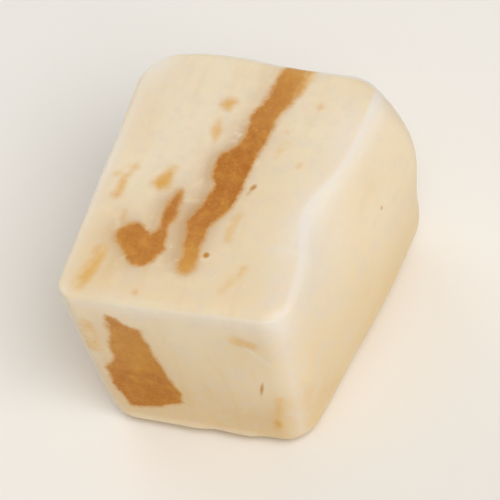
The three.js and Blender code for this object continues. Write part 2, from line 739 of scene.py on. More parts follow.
    veils: tuple[ToffeePiece, ...] = (
        *flecks(
            Face.TOP,
            ((-9.0, -9.0), (-9.6, -13.0), 0.4),
            ((2.7, -2.8), (2.5, -5.5), 0.12),
            ((5.0, -8.6), (3.9, -11.3), 0.12),
            ((4.4, 8.9), (4.0, 7.7), 0.05),
            ((4.4, 6.2), (4.1, 4.8), 0.05),
            ((4.2, 16.5), (3.7, 12.6), 0.1),
            ((-10.4, 0.2), (-9.1, 1.2), 0.05),
            ((-9.5, 0.6), (-9.5, -1.4), 0.2),
            ((-6.3, -0.4), (-5.3, 1.6), 0.2),
        ),
        *flecks(
            Face.FRONT,
            ((-9.5, 16.6), (-9.8, 12.6), 0.5),
            ((5.2, 17.0), (6.8, 16.4), 0.3),
            ((7.8, 8.0), (6.5, 3.0), 0.1),
        ),
        *flecks(
            Face.LEFT,
            ((-0.2, 4.6), (0.6, 7.8), 0.3),
            ((-10.0, 10.0), (-9.0, 12.5), 0.3),
            ((3.4, 12.6), (4.2, 16.2), 0.2),
            ((-3.6, 2.6), (-2.4, 5.0), 0.2),
            ((9.8, 5.6), (10.4, 9.6), 0.2),
            ((-9.0, 16.6), (-6.6, 17.6), 0.15),
        ),
        *flecks(
            Face.BACK,
            ((0.0, 3.4), (2.4, 4.2), 0.3),
            ((-2.6, 13.8), (-3.4, 16.8), 0.2),
            ((5.0, 11.2), (6.4, 13.2), 0.2),
            ((-8.8, 3.6), (-8.0, 6.4), 0.2),
        ),
    )
    blushes: tuple[Blush, ...] = (
        # On the top
        Blush((-6.0, 5.0, HEIGHT), (5.0, 7.0, 3.0), -0.25),
        Blush((0.0, 13.0, HEIGHT), (8.0, 4.0, 3.0), -0.1),
        Blush((7.5, 7.0, HEIGHT), (3.0, 7.0, 2.0), -0.28),
        Blush((-8.8, -10.2, HEIGHT), (2.5, 4.0, 2.0), 0.42),
        # On the front: painted warm shade low down and by the lower right, painted light near the top and
        # by the right upright, and a few tints of its own
        Blush((0.0, -14.2, 8.0), (12.0, 2.5, 8.0), 0.28),
        Blush((0.0, -14.6, 19.0), (10.0, 1.5, 3.0), -0.3),
        Blush((0.0, -12.8, HEIGHT), (9.0, 1.6, 1.0), 0.12),
        Blush((7.0, -13.5, 9.0), (3.5, 3.0, 4.0), -0.2),
        Blush((-9.5, -14.0, 15.0), (2.0, 2.0, 2.0), 0.2),
        Blush((6.2, -14.2, 16.6), (1.8, 2.0, 1.2), 0.25),
        Blush((3.5, -13.5, 4.0), (5.0, 2.0, 3.0), 0.25),
        Blush((8.4, -13.2, 6.0), (1.8, 2.0, 3.0), 0.6),
        # On the right: a faint tint high up, and painted warm shade low down
        Blush((11.5, 3.5, 16.0), (3.0, 3.0, 2.5), 0.12),
        Blush((12.5, 2.0, 3.0), (4.0, 10.0, 6.0), 0.5),
        Blush((10.5, -11.0, 2.0), (4.0, 4.0, 4.0), 0.4),
        # On the left and the back
        Blush((-12.0, 6.0, 9.0), (3.0, 5.0, 6.0), 0.2),
        Blush((-12.0, -8.0, 5.0), (3.0, 4.0, 5.0), 0.15),
        Blush((-3.0, 15.5, 8.0), (5.0, 3.0, 6.0), 0.2),
        Blush((7.0, 15.5, 5.0), (4.0, 3.0, 4.0), 0.15),
    )

    def nearest(self, points: Array) -> tuple[Array, Array]:
        """The nearest piece's distance, its outline made ragged, and the tone there.

        Each piece strays by its wander times one slow noise, and two finer noises shift them all. The
        tone is the pieces' mean, each weighted by the exponential of its distance, so that one
        piece's tone holds inside it.

        Args:
            points: places, one row each.

        Returns:
            Distance outside the toffee, and tone, for each point.
        """
        stray = self.wander.at(points)
        each = np.array([piece.distance(points) + piece.wander * stray for piece in self.pieces])
        tones = np.array([piece.tone for piece in self.pieces])
        near = each.min(axis=0)
        weights = np.exp((near - each) / self.tone_reach)
        ragged = near + sum(noise.at(points) for noise in self.ragged)
        return ragged, tones @ weights / weights.sum(axis=0)

    def stain(self, points: Array) -> Array:
        """How far the toffee has stained the cream round it, from 0 to 1.

        Each piece stains by its tone and its own strength, falling off as the exponential of the
        distance, and takes its share of what the others leave. The places are shifted, because the
        pieces drift to the left under the skin and show through it.

        Args:
            points: places, one row each.

        Returns:
            One share for each point.
        """
        shifted = points + np.array(self.stain_shift)
        away = [np.maximum(piece.distance(shifted), 0) for piece in self.pieces]
        strength = [piece.tone * piece.stain for piece in self.pieces]
        left = [1 - most * np.exp(-far / self.stain_reach) for most, far in zip(strength, away)]
        return 1 - np.prod(left, axis=0)

    def veil(self, points: Array) -> Array:
        """Share of a veil at each point, fading out over a soft ragged border."""
        near = np.min([piece.distance(points) for piece in self.veils], axis=0)
        return self.veil_border.at(near + self.veil_ragged.at(points))

    def warmth_and_shade(self, points: Array) -> Array:
        """How warm the cream is, from 0 to 1, painted warm shade included.

        A clouded base of the cream's own tint, rising smoothly with painted warm shade to the foot and with
        painted warm bounce light to the front, plus every blush, some of which are painted shade.

        Args:
            points: places, one row each.

        Returns:
            One share for each point.
        """
        # Painted warm shade at the foot and painted warm bounce light on the front
        placed = self.foot.at(points[:, 2]) + self.front.at(points[:, 1])
        blushes = sum(blush.at(points) for blush in self.blushes)
        return np.clip(self.warm_base + self.cloud.at(points) + placed + blushes, 0, 1)


@dataclass(frozen=True)
class FrontMark:
    """A shallow groove in the front between two (x, z) ends."""

    start: Spot
    end: Spot
    half: float
    depth: float

    def near(self, points: Array) -> Array:
        """How near each point is to the groove's line, as a Gaussian across it.

        Args:
            points: places, one row each.

        Returns:
            One share from 0 to 1 for each point.
        """
        run = np.subtract(self.end, self.start)
        _, offset = along_stretches(points[:, (0, 2)], np.array((self.start,)), run[None])
        return gaussian(np.linalg.norm(offset[:, 0], axis=1) / self.half)


@dataclass(frozen=True)
class FootLip:
    """The thin uneven lip that the blade left along the foot of the front."""

    z: float = 1.35
    half: float = 0.4
    start: Fade = Fade(-10.2, -8.2)
    end: Fade = Fade(5.6, 3.0)
    out: float = 0.28
    uneven: Noise = Noise(0.8, 2.0, 26)

    def near(self, points: Array) -> Array:
        """How near each point is to the lip, from 0 to 1: a Gaussian of height, fading at both ends."""
        reach = self.start.at(points[:, 0]) * self.end.at(points[:, 0])
        return reach * gaussian((points[:, 2] - self.z) / self.half)


@dataclass(frozen=True)
class Relief:
    """Fine unevenness of the cut skin, as heights in millimetres."""

    lumps: Noise = Noise(0.03, 3.2, 24)
    grains: Noise = Noise(0.012, 0.8, 25)
    drag: Noise = Noise(0.014, (0.9, 7.0, 7.0), 21)
    drag_power: int = 4
    toffee_dip: Fade = Fade(0.2, -0.35, 0.02)
    pits: int = 26
    pit_seed: int = 23
    pit_radius: Band = (0.15, 0.32)
    pit_depth: Band = (0.02, 0.06)
    slit: FrontMark = FrontMark((6.7, 10.7), (6.1, 8.5), half=0.17, depth=0.02)
    crease: FrontMark = FrontMark((6.0, 16.2), (8.0, 13.6), half=0.25, depth=0.03)
    lip: FootLip = FootLip()
    wear: Noise = Noise(0.05, 2.2, 27)
    wear_width: float = 0.9
    settle: Fade = Fade(0.0, 0.5)

    def drag_lines(self, points: Array, normals: Array) -> Array:
        """Marks of the blade: drawn-out noise, fading as the skin turns from the top, front and back."""
        cut = np.clip(normals[:, 2], 0, 1) ** self.drag_power + normals[:, 1] ** self.drag_power
        return self.drag.at(points) * cut

    def pit_marks(self, points: Array) -> Array:
        """Small air holes: Gaussian hollows of seeded sizes at seeded skin points.

        Args:
            points: skin points.

        Returns:
            Heights, none above nothing.
        """
        draw = np.random.default_rng(self.pit_seed)
        chosen = points[draw.integers(0, len(points), self.pits)]
        radius = draw.uniform(*self.pit_radius, self.pits)
        depth = draw.uniform(*self.pit_depth, self.pits)
        off = np.linalg.norm(points[:, None, :] - chosen, axis=2)
        return -(depth * gaussian(off / radius)).sum(axis=1)

    def front_marks(self, points: Array, normals: Array) -> Array:
        """The slit, the crease and the lip, fading where the skin turns away from the front.

        Args:
            points: skin points.
            normals: outward directions there.

        Returns:
            Heights, below nothing in the slit and the crease.
        """
        grooves = -sum(mark.depth * mark.near(points) for mark in (self.slit, self.crease))
        lip = self.lip.out * (1 + self.lip.uneven.at(points)) * self.lip.near(points)
        return (grooves + lip) * np.clip(-normals[:, 1], 0, 1)

    def worn(self, points: Array, ways: Sequence[Array]) -> Array:
        """What the edges have lost: noise below nothing, by a Gaussian of the way from each edge."""
        lost = self.wear.at(points) - self.wear.height
        return lost * sum(gaussian(way / self.wear_width) for way in ways)

    def height(self, points: Array, normals: Array, toffee: Array, ways: Sequence[Array]) -> Array:
        """All the relief together, settling to nothing at the flat base.

        Args:
            points: skin points.
            normals: outward directions there.
            toffee: distance outside the toffee.
            ways: how far past the top's edge, and how far from the nearest upright edge.

        Returns:
            Height to move each point out by.
        """
        soft = self.lumps.at(points) + self.grains.at(points) + self.worn(points, ways)
        drawn = self.drag_lines(points, normals) + self.front_marks(points, normals)
        hollows = self.pit_marks(points) - self.toffee_dip.at(toffee)
        return (soft + drawn + hollows) * self.settle.at(points[:, 2])


class Wire:
    """A node's output that Python's own operators do maths on, each adding a Math node."""

    def __init__(self, maker: "NodeMaker", socket: bpy.types.NodeSocket) -> None:
        """Keeps the socket and the maker that owns its tree."""
        self.maker = maker
        self.socket = socket

    def __add__(self, other: "Wire | float") -> "Wire":
        """Sum."""
        return self.maker.math("ADD", self, other)

    __radd__ = __add__

    def __sub__(self, other: "Wire | float") -> "Wire":
        """Difference."""
        return self.maker.math("SUBTRACT", self, other)

    def __rsub__(self, other: "Wire | float") -> "Wire":
        """Difference from a number."""
        return self.maker.math("SUBTRACT", other, self)

    def __mul__(self, other: "Wire | float") -> "Wire":
        """Product."""
        return self.maker.math("MULTIPLY", self, other)

    __rmul__ = __mul__

    def fade(self, fade: Fade) -> "Wire":
        """Smooth change from 0 at the fade's start to its most at its end.

        Args:
            fade: the change, rising or falling.

        Returns:
            The changed value.
        """
        (low, at_low), (high, at_high) = sorted(((fade.start, 0.0), (fade.end, fade.most)))
        sockets = {"Value": self, "From Min": low, "From Max": high, "To Min": at_low, "To Max": at_high}
        return self.maker.node("ShaderNodeMapRange", {"interpolation_type": "SMOOTHSTEP"}, sockets)


Value = Wire | float | Sequence[float]


@dataclass(frozen=True)
class Grain:
    """Noise in a finish: its features' size in millimetres, its finer layers and each axis's scale."""

    cell: float
    detail: float = 3.0
    roughness: float = 0.55
    scale: Place = (1.0, 1.0, 1.0)


class Layer(Enum):
    """A value that the block's mesh keeps at its points."""

    TOFFEE = "toffee"
    TONE = "tone"
    STAIN = "stain"
    VEIL = "veil"
    # The cream's own warm tint together with painted warm shade
    WARMTH_AND_SHADE = "warmth_and_shade"
    # Painted highlight along the edges and folds
    PAINTED_HIGHLIGHT = "pale"


class NodeMaker:
    """Writes one material's nodes."""

    def __init__(self, name: str) -> None:
        """Starts a material with an empty tree.

        Args:
            name: the material's name.
        """
        self.material = bpy.data.materials.new(name)
        self.material.use_nodes = True
        self.tree = self.material.node_tree
        self.tree.nodes.clear()

    def node(
        self,
        kind: str,
        settings: Mapping[str, Any] | None = None,
        sockets: Mapping[str | int, Value] | None = None,
        output: str | int = 0,
    ) -> Wire:
        """Adds one node.

        Args:
            kind: the node's type.
            settings: its own properties, set first.
            sockets: numbers or wires for its inputs, by name or place.
            output: the output to hand on, by name or place.

        Returns:
            That output.
        """
        made = self.tree.nodes.new(kind)
        for key, value in (settings or {}).items():
            setattr(made, key, value)
        for key, value in (sockets or {}).items():
            if isinstance(value, Wire):
                self.tree.links.new(value.socket, made.inputs[key])
            else:
                made.inputs[key].default_value = value
        return Wire(self, made.outputs[output])

    def math(self, operation: str, first: Value, second: Value) -> Wire:
        """A Math node on two values."""
        return self.node("ShaderNodeMath", {"operation": operation}, {0: first, 1: second})

    def mix(self, share: Value, first: Value, second: Value) -> Wire:
        """A colour from first to second by a share."""
        sockets = {MIX_SHARE: share, MIX_FIRST: self.opaque(first), MIX_SECOND: self.opaque(second)}
        return self.node("ShaderNodeMix", {"data_type": "RGBA"}, sockets, MIX_RESULT)

    def layered(self, base: Value, *coats: tuple[Value, Value]) -> Wire:
        """A base colour under coats that go on in turn.

        Args:
            base: the colour to begin with.
            coats: the share that each coat covers, and its colour.

        Returns:
            The colour on top.
        """
        for share, colour in coats:
            base = self.mix(share, base, colour)
        return base

    @staticmethod
    def opaque(colour: Value) -> Value:
        """A colour of three numbers with a full fourth one; a wire stays as it is."""
        return colour if isinstance(colour, Wire) else (*colour, 1.0)

    def attribute(self, layer: Layer) -> Wire:
        """A value that the mesh keeps at its points."""
        return self.node("ShaderNodeAttribute", {"attribute_name": layer.value}, output="Fac")

    def place(self, scale: Place = (1.0, 1.0, 1.0)) -> Wire:
        """The point's own place on the object, each axis scaled."""
        place = self.node("ShaderNodeTexCoord", output="Object")
        return self.node("ShaderNodeVectorMath", {"operation": "MULTIPLY"}, {0: place, 1: scale})

    def noise(self, grain: Grain) -> Wire:
        """Noise from about 0 to 1 at the point's own place.

        Args:
            grain: the features' size, the finer layers and each axis's scale.

        Returns:
            The noise.
        """
        sockets = {
            "Vector": self.place(grain.scale),
            "Scale": 1 / (grain.cell * MM),
            "Detail": grain.detail,
            "Roughness": grain.roughness,
        }
        return self.node("ShaderNodeTexNoise", {"noise_dimensions": "3D"}, sockets)

    def cells(self, size_mm: float, output: str) -> Wire:
        """Loosely packed cells of a size: the distance from the nearest one's seed, or its colour."""
        sockets = {"Vector": self.place(), "Scale": 1 / (size_mm * MM)}
        return self.node("ShaderNodeTexVoronoi", {"feature": "F1"}, sockets, output)

    def finish(self, shader: Wire) -> bpy.types.Material:
        """Makes a shader the material's surface.

        Args:
            shader: the shader.

        Returns:
            The finished material.
        """
        surface = self.tree.nodes.new("ShaderNodeOutputMaterial")
        self.tree.links.new(shader.socket, surface.inputs["Surface"])
        return self.material


@dataclass(frozen=True)
class Speck:
    """A tiny brown spot on the skin: its middle and half sizes in the plan, its turn and its strength."""

    middle: Place
    half: Place
    turn_deg: Place = (0.0, 0.0, 0.0)
    strength: float = 0.8


@dataclass(frozen=True)
class SkinWires:
    """What the nougat's colour, roughness and bump share: its tone, its noises and its toffee.

    Outside is the frayed distance out of the toffee. Inside is 1 in the toffee and 0 in the cream.
    """

    tone: Wire
    outside: Wire
    grit: Wire
    mottle: Wire
    drawn: Wire
    sugar: Wire
    inside: Wire


@dataclass(frozen=True)
class NougatFinish:
    """Satin, slightly waxy nougat with toffee through it. Sizes are in millimetres.

    A value called one thing by another says how the second brings out the first.
    """

    cream: Colour = linear(245, 228, 198)
    # Warm cream, which also colours the painted warm shade
    cream_warm_and_shaded: Colour = linear(233, 205, 156)
    cream_cool: Colour = linear(232, 217, 196)
    # Near-white of the sugar grains, which also colours the painted highlight
    highlight_and_sugar_white: Colour = linear(242, 237, 232)
    stain: Colour = linear(200, 160, 112)
    veil: Colour = linear(232, 186, 106)
    toffee: Colour = linear(199, 132, 57)
    amber: Colour = linear(206, 138, 26)
    toffee_dark: Colour = linear(183, 109, 25)
    toffee_light: Colour = linear(236, 182, 76)
    rim: Colour = linear(228, 172, 88)
    speck: Colour = linear(198, 138, 52)
    roughness: float = 0.55
    rough_by_mottle: float = 0.16
    smooth_by_toffee: float = 0.08
    gloss: float = 0.22
    subsurface: float = 0.5
    subsurface_radius: Place = (1.0, 0.65, 0.35)
    subsurface_scale: float = 1.8

    # Where the toffee ends: how sharply, and how far the grit moves its border
    border: Fade = Fade(1.0, -1.0)
    sharp_least: float = 1.2
    sharp_by_tone: float = 1.4
    fray: float = 0.4

    # How the cream varies
    warm_by_drawn: Fade = Fade(0.5, 0.75, 0.22)
    cool_by_mottle: Fade = Fade(0.45, 0.7, 0.4)
    stain_by_mottle: Fade = Fade(0.2, 0.5)
    veil_by_mottle: Fade = Fade(0.25, 0.6, 0.6)
    crest_by_sugar: float = 0.3

    # How the toffee varies, and how far it covers the cream
    amber_by_warmth: Fade = Fade(0.35, 0.85, 0.8)
    dark_by_blotch: Fade = Fade(0.48, 0.7, 0.35)
    dark_by_tone: float = 2.0
    dark_by_grit: Fade = Fade(0.4, 0.2, 0.34)
    light_by_blotch: Fade = Fade(0.5, 0.3, 0.2)
    light_by_grit: Fade = Fade(0.5, 0.75, 0.22)
    light_by_sugar: float = 0.35
    rim_by_outside: Fade = Fade(-0.35, 0.05, 0.5)
    cover_least: float = 0.78
    cover_by_tone: float = 0.22

    # Noises, sugar grains and pores
    grit: Grain = Grain(0.32, detail=2.0)
    mottle: Grain = Grain(1.6)
    blotch: Grain = Grain(1.3, roughness=0.5)
    drawn: Grain = Grain(1.5, scale=(1.0, 0.2, 0.3))
    fine: Grain = Grain(0.35, roughness=0.6)
    sugar_cell: float = 1.1
    sugar_edge: Fade = Fade(0.2, 0.1)
    sugar_draw: Fade = Fade(0.85, 1.0)
    pore_cell: float = 1.1
    pore_edge: Fade = Fade(0.0, 0.28)

    # The bump: its strength and height, and what each relief brings to it
    bump_strength: float = 0.6
    bump_height: float = 0.06
    bump_by_fine: float = 0.5
    bump_by_drawn: float = 0.2
    bump_by_pores: float = 0.3
    bump_by_grit: float = 0.4

    # Tiny brown spots, and how they fade out in shares of their half sizes
    speck_edge: Fade = Fade(1.3, 0.3)
    specks: tuple[Speck, ...] = (
        Speck((2.95, 0.75, HEIGHT), (0.3, 0.48, 1.0), (0, 0, -22), 0.85),
        Speck((2.75, 0.05, HEIGHT), (0.26, 0.4, 1.0), (0, 0, -22), 0.35),
        Speck((1.1, -7.6, HEIGHT), (0.37, 0.37, 1.0), strength=1.0),
        Speck((6.4, -14.0, 9.6), (0.2, 1.0, 1.2), (0, 15, 0), 0.85),
        Speck((12.4, 6.0, 13.6), (1.0, 0.24, 0.26), strength=0.65),
        Speck((-12.0, -3.2, 9.4), (1.0, 0.24, 0.34)),
        Speck((-12.2, 11.4, 12.0), (1.0, 0.22, 0.22), strength=0.7),
        Speck((3.4, 16.0, 12.6), (0.24, 1.0, 0.3)),
    )

    def spotted(self, make: NodeMaker, shift: Array) -> Wire:
        """Where the brown specks are, from 0 to 1.

        Each speck is an ellipsoid: the place is moved, turned and scaled so that it becomes a ball of
        radius 1, and the speck shows inside the ball.

        Args:
            make: the material's maker.
            shift: what moves the plan to the finished mesh, in millimetres.

        Returns:
            The share of speck.
        """
        place = make.place()
        total: Wire | float = 0.0
        for speck in self.specks:
            sockets = {
                "Vector": place,
                "Location": tuple((np.array(speck.middle) + shift) * MM),
                "Rotation": tuple(math.radians(turn) for turn in speck.turn_deg),
                "Scale": tuple(np.array(speck.half) * MM),
            }
            ball = make.node("ShaderNodeMapping", {"vector_type": "TEXTURE"}, sockets)
            radius = make.node("ShaderNodeVectorMath", {"operation": "LENGTH"}, {0: ball}, "Value")
            total = radius.fade(self.speck_edge) * speck.strength + total
        return total

    def sugared(self, make: NodeMaker) -> Wire:
        """Where pale sugar grains show, from 0 to 1: balls in some of a loose packing's cells.

        Args:
            make: the material's maker.

        Returns:
            The share of sugar.
        """
        near = make.cells(self.sugar_cell, "Distance")
        colour = make.cells(self.sugar_cell, "Color")
        draw = make.node("ShaderNodeSeparateColor", None, {"Color": colour}, "Red")
        return near.fade(self.sugar_edge) * draw.fade(self.sugar_draw)

    def wires(self, make: NodeMaker) -> SkinWires:
        """The values that colour, roughness and bump share.

        The distance outside the toffee, moved by fine grit, falls through nothing at the border, the
        more sharply the fuller the tone.

        Args:
            make: the material's maker.

        Returns:
            The shared values.
        """
        toffee, tone = make.attribute(Layer.TOFFEE), make.attribute(Layer.TONE)
        grit, mottle = make.noise(self.grit), make.noise(self.mottle)
        frayed = toffee + (grit - NOISE_MEAN) * self.fray
        return SkinWires(
            tone=tone,
            outside=frayed,
            grit=grit,
            mottle=mottle,
            drawn=make.noise(self.drawn),
            sugar=self.sugared(make),
            inside=(frayed * (tone * self.sharp_by_tone + self.sharp_least)).fade(self.border),
        )

    def cream_colour(self, make: NodeMaker, skin: SkinWires) -> Wire:
        """The nougat's colour: cream that warms, takes painted warm shade, cools, stains, takes painted
        highlight and takes veils in turn.

        Args:
            make: the material's maker.
            skin: the shared values.

        Returns:
            The colour.
        """
        return make.layered(
            self.cream,
            # The cream's own warm tint, and painted warm shade at the foot, on the front and in blushes
            (make.attribute(Layer.WARMTH_AND_SHADE) + skin.drawn.fade(self.warm_by_drawn), self.cream_warm_and_shaded),
            (skin.mottle.fade(self.cool_by_mottle), self.cream_cool),
            (make.attribute(Layer.STAIN) * skin.mottle.fade(self.stain_by_mottle), self.stain),
            # Painted highlight along the edges, uprights, crease and lip
            (make.attribute(Layer.PAINTED_HIGHLIGHT), self.highlight_and_sugar_white),
            (make.attribute(Layer.VEIL) * skin.mottle.fade(self.veil_by_mottle), self.veil),
            (skin.sugar * self.crest_by_sugar, self.highlight_and_sugar_white),
        )

    def toffee_colour(self, make: NodeMaker, skin: SkinWires) -> Wire:
        """The toffee's colour.

        Light where its tone is pale, amber where the cream is warm and where warm shade is painted, dark
        and light by blotches and grit, and golden along its border, where it is thin.

        Args:
            make: the material's maker.
            skin: the shared values.

        Returns:
            The colour.
        """
        blotch = make.noise(self.blotch)
        # Amber follows the cream's warm tint and the painted warm shade
        amber = make.attribute(Layer.WARMTH_AND_SHADE).fade(self.amber_by_warmth)
        dark = blotch.fade(self.dark_by_blotch) + (skin.tone - 1.0) * self.dark_by_tone
        light = blotch.fade(self.light_by_blotch) + skin.sugar * self.light_by_sugar
        return make.layered(
            self.toffee_light,
            (skin.tone, make.mix(amber, self.toffee, self.amber)),
            (dark + skin.grit.fade(self.dark_by_grit), self.toffee_dark),
            (light + skin.grit.fade(self.light_by_grit), self.toffee_light),
            (skin.outside.fade(self.rim_by_outside), self.rim),
        )

    def bump(self, make: NodeMaker, skin: SkinWires) -> Wire:
        """The skin's finest relief: fine noise, the blade's drawn marks, pores, and grit in the toffee.

        Args:
            make: the material's maker.
            skin: the shared values.

        Returns:
            The bumped normal.
        """
        pores = make.cells(self.pore_cell, "Distance").fade(self.pore_edge)
        height = make.noise(self.fine) * self.bump_by_fine + skin.drawn * self.bump_by_drawn
        height = height + pores * self.bump_by_pores + skin.grit * skin.inside * self.bump_by_grit
        sockets = {"Strength": self.bump_strength, "Distance": self.bump_height * MM, "Height": height}
        return make.node("ShaderNodeBump", None, sockets, "Normal")

    def material(self, shift: Array) -> bpy.types.Material:
        """The nougat's nodes: colour from the marbling, roughness and bump from grain and pores.

        Args:
            shift: what moves the plan to the finished mesh, in millimetres.

        Returns:
            The material.
        """
        make = NodeMaker("nougat_marbled")
        skin = self.wires(make)
        cover = skin.inside * (skin.tone * self.cover_by_tone + self.cover_least)
        colour = make.layered(
            self.cream_colour(make, skin),
            (cover, self.toffee_colour(make, skin)),
            (self.spotted(make, shift), self.speck),
        )
        mottled = (skin.mottle - NOISE_MEAN) * self.rough_by_mottle
        sockets = {
            "Base Color": colour,
            "Roughness": mottled + self.roughness - skin.inside * self.smooth_by_toffee,
            "Normal": self.bump(make, skin),
            "Specular IOR Level": self.gloss,
            "Subsurface Weight": self.subsurface,
            "Subsurface Radius": self.subsurface_radius,
            "Subsurface Scale": self.subsurface_scale * MM,
        }
        shader = make.node("ShaderNodeBsdfPrincipled", {"subsurface_method": "RANDOM_WALK"}, sockets)
        return make.finish(shader)


@dataclass(frozen=True)
class FloorFinish:
    """Plain pale matt floor with a very faint cloud in its colour."""

    colour: Colour = linear(250, 246, 239)
    cloud_colour: Colour = linear(243, 239, 232)
    cloud: Grain = Grain(120.0, detail=1.0)
    cloud_share: float = 0.04
    roughness: float = 0.7

    def material(self) -> bpy.types.Material:
        """The floor's nodes.

        Returns:
            The material.
        """
        make = NodeMaker("pale_floor")
        colour = make.mix(make.noise(self.cloud) * self.cloud_share, self.colour, self.cloud_colour)
        sockets = {"Base Color": colour, "Roughness": self.roughness}
        return make.finish(make.node("ShaderNodeBsdfPrincipled", None, sockets))


@dataclass
class NougatBlock:
    """The block of nougat: its form, relief, marbling and finish, and the fineness of its skin.

    The mesh keeps the distance from the toffee as far as the toffee's reach. The edge values are for the
    painted highlight along the top's edge: where it starts, how much earlier that is on the right and at
    the back, how softly that turns at the uprights, and its width and share, each at least so much and so
    much more for each millimetre of rounding. The uprights, the crease and the lip take painted highlight
    too.
    """

    form: BlockForm = field(default_factory=BlockForm)
    relief: Relief = field(default_factory=Relief)
    marbling: Marbling = field(default_factory=Marbling)
    finish: NougatFinish = field(default_factory=NougatFinish)
    steps: tuple[int, int, int] = (122, 154, 110)
    crowding: float = 0.4
    toffee_reach: float = 3.0
    # Painted highlight along the top's edge, the uprights, the crease and the lip
    edge_start: Fade = Fade(-0.4, 0.3)
    edge_early: Band = (0.6, 0.25)
    edge_turn: float = 0.8
    edge_width: Band = (0.7, 0.95)
    edge_share: Band = (0.12, 0.36)
    upright_width: float = 1.2
    upright_share: float = 0.56
    crease_share: float = 0.3
    lip_share: float = 0.3
    # Painted highlight in soft patches, and below nothing where painted highlight is taken back
    painted_highlight_blushes: tuple[Blush, ...] = (
        Blush((9.2, -2.0, 20.3), (2.0, 5.0, 2.0), 0.5),
        Blush((10.5, -1.0, 17.5), (2.0, 4.0, 3.0), 0.2),
        Blush((9.6, -11.0, 19.5), (2.0, 5.0, 3.0), 0.35),
        Blush((9.7, 7.8, HEIGHT), (1.0, 3.6, 0.9), 0.42),
        Blush((11.2, -7.0, 17.5), (2.5, 7.0, 3.5), 0.2),
        Blush((-12.05, 1.0, 21.2), (1.0, 14.0, 0.9), 0.55),
        Blush((-12.65, 0.0, 19.2), (1.2, 18.0, 1.6), -0.4),
        Blush((-10.8, 13.6, HEIGHT), (1.6, 2.6, 1.5), 0.5),
        Blush((0.0, -14.8, 20.0), (12.0, 1.2, 1.0), 0.15),
        Blush((8.2, -5.8, HEIGHT), (1.5, 0.4, 1.0), 0.25),
    )

    def cube_grid(self) -> tuple[Array, Array]:
        """The skin of a cube from -1 to 1 as one welded grid.

        Every lattice point with a coordinate at either end gets a number, so that neighbouring faces
        share their points. Each face's squares are the four shifted slices of its numbers.

        Returns:
            Points on the cube, and four point numbers for each square, turning outwards.
        """
        counts = np.array(self.steps) + 1
        places = np.stack(np.meshgrid(*(np.arange(n) for n in counts), indexing="ij"), axis=-1)
        on_skin = ((places == 0) | (places == counts - 1)).any(axis=-1)
        numbers = np.full(counts, -1)
        numbers[on_skin] = np.arange(on_skin.sum())
        points = places[on_skin] / np.array(self.steps) * 2 - 1
        squares = []
        for axis in range(3):
            for end in (0, -1):
                sheet = np.take(numbers, end, axis=axis)
                quad = np.stack((sheet[:-1, :-1], sheet[1:, :-1], sheet[1:, 1:], sheet[:-1, 1:]), axis=-1)
                outward = (end == -1) ^ (axis == 1)
                squares.append(quad.reshape(-1, 4) if outward else quad.reshape(-1, 4)[:, ::-1])
        return points, np.concatenate(squares)

    def shift(self, skin: Array) -> Array:
        """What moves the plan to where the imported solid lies.

        Args:
            skin: points of the smooth skin.

        Returns:
            Millimetres to add to each coordinate.
        """
        low, high = (np.array(corner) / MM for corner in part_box(NODE))
        middle = (low + high - skin.min(axis=0) - skin.max(axis=0)) / 2
        return np.array((middle[0], middle[1], low[2] - skin[:, 2].min()))

    def build(self) -> bpy.types.Object:
        """Works out the skin, its relief and its marbling, and makes and dresses the mesh.

        Returns:
            The block, in metres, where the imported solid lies.
        """
        cube_points, squares = self.cube_grid()
        skin = self.form.skin(cube_points, self.crowding)
        shift = self.shift(skin)
        normals = self.form.normals(skin)
        toffee, tone = self.marbling.nearest(skin)
        ways = self.form.from_edges(skin)
        raised = skin + normals * self.relief.height(skin, normals, toffee, ways)[:, None]
        values = {
            Layer.TOFFEE: np.clip(toffee, -self.toffee_reach, self.toffee_reach),
            Layer.TONE: tone,
            Layer.STAIN: self.marbling.stain(skin),
            Layer.VEIL: self.marbling.veil(skin),
            # The cream's own warm tint together with painted warm shade
            Layer.WARMTH_AND_SHADE: self.marbling.warmth_and_shade(skin),
            # Painted highlight along the edges and folds
            Layer.PAINTED_HIGHLIGHT: self.painted_highlight(skin, normals, ways),
        }
        named = {layer.value: numbers for layer, numbers in values.items()}
        mesh = mesh_from_arrays("nougat_block_skin", (raised + shift) * MM, squares, named)
        block = link("nougat_block_skin", mesh)
        self.dress(block, shift)
        return block

    def painted_highlight(self, skin: Array, normals: Array, ways: tuple[Array, Array]) -> Array:
        """Painted highlight: how much paler the skin is painted where light catches its edges and folds.

        From about the top's edge down, farther and paler where it is rounder. The line starts early on
        the right and the back and late on the left and the front, and turns smoothly from one to the
        other at the uprights. Then along the uprights, on the crease, on the lip and in the pale blushes.
        Each takes its share of what the others leave, and a blush below nothing gives some back.

        Args:
            skin: points of the smooth skin.
            normals: outward directions there.
            ways: how far past the top's edge, and how far from the nearest upright edge.

        Returns:
            One share for each point.
        """
        top, upright = ways
        across, along, _, _ = self.form.surfaces(skin)
        by_side = 1 / (1 + np.exp((along - across) / self.edge_turn))
        early = np.sign(skin[:, :2]) * self.edge_early * np.stack((by_side, 1 - by_side), axis=1)
        line = top + early.sum(axis=1)
        rounding = self.form.rounding(Edge.TOP, skin)
        width, share = (least + more * rounding for least, more in (self.edge_width, self.edge_share))
        on_front = np.clip(-normals[:, 1], 0, 1)
        # Each share is painted highlight
        shares = (
            share * self.edge_start.at(line) * gaussian(np.maximum(line, 0) / width),
            self.upright_share * gaussian(upright / self.upright_width),
            self.crease_share * self.relief.crease.near(skin) * on_front,
            self.lip_share * self.relief.lip.near(skin) * on_front,
            *(blush.at(skin) for blush in self.painted_highlight_blushes),
        )
        return np.clip(1 - np.prod([1 - share for share in shares], axis=0), 0, 1)

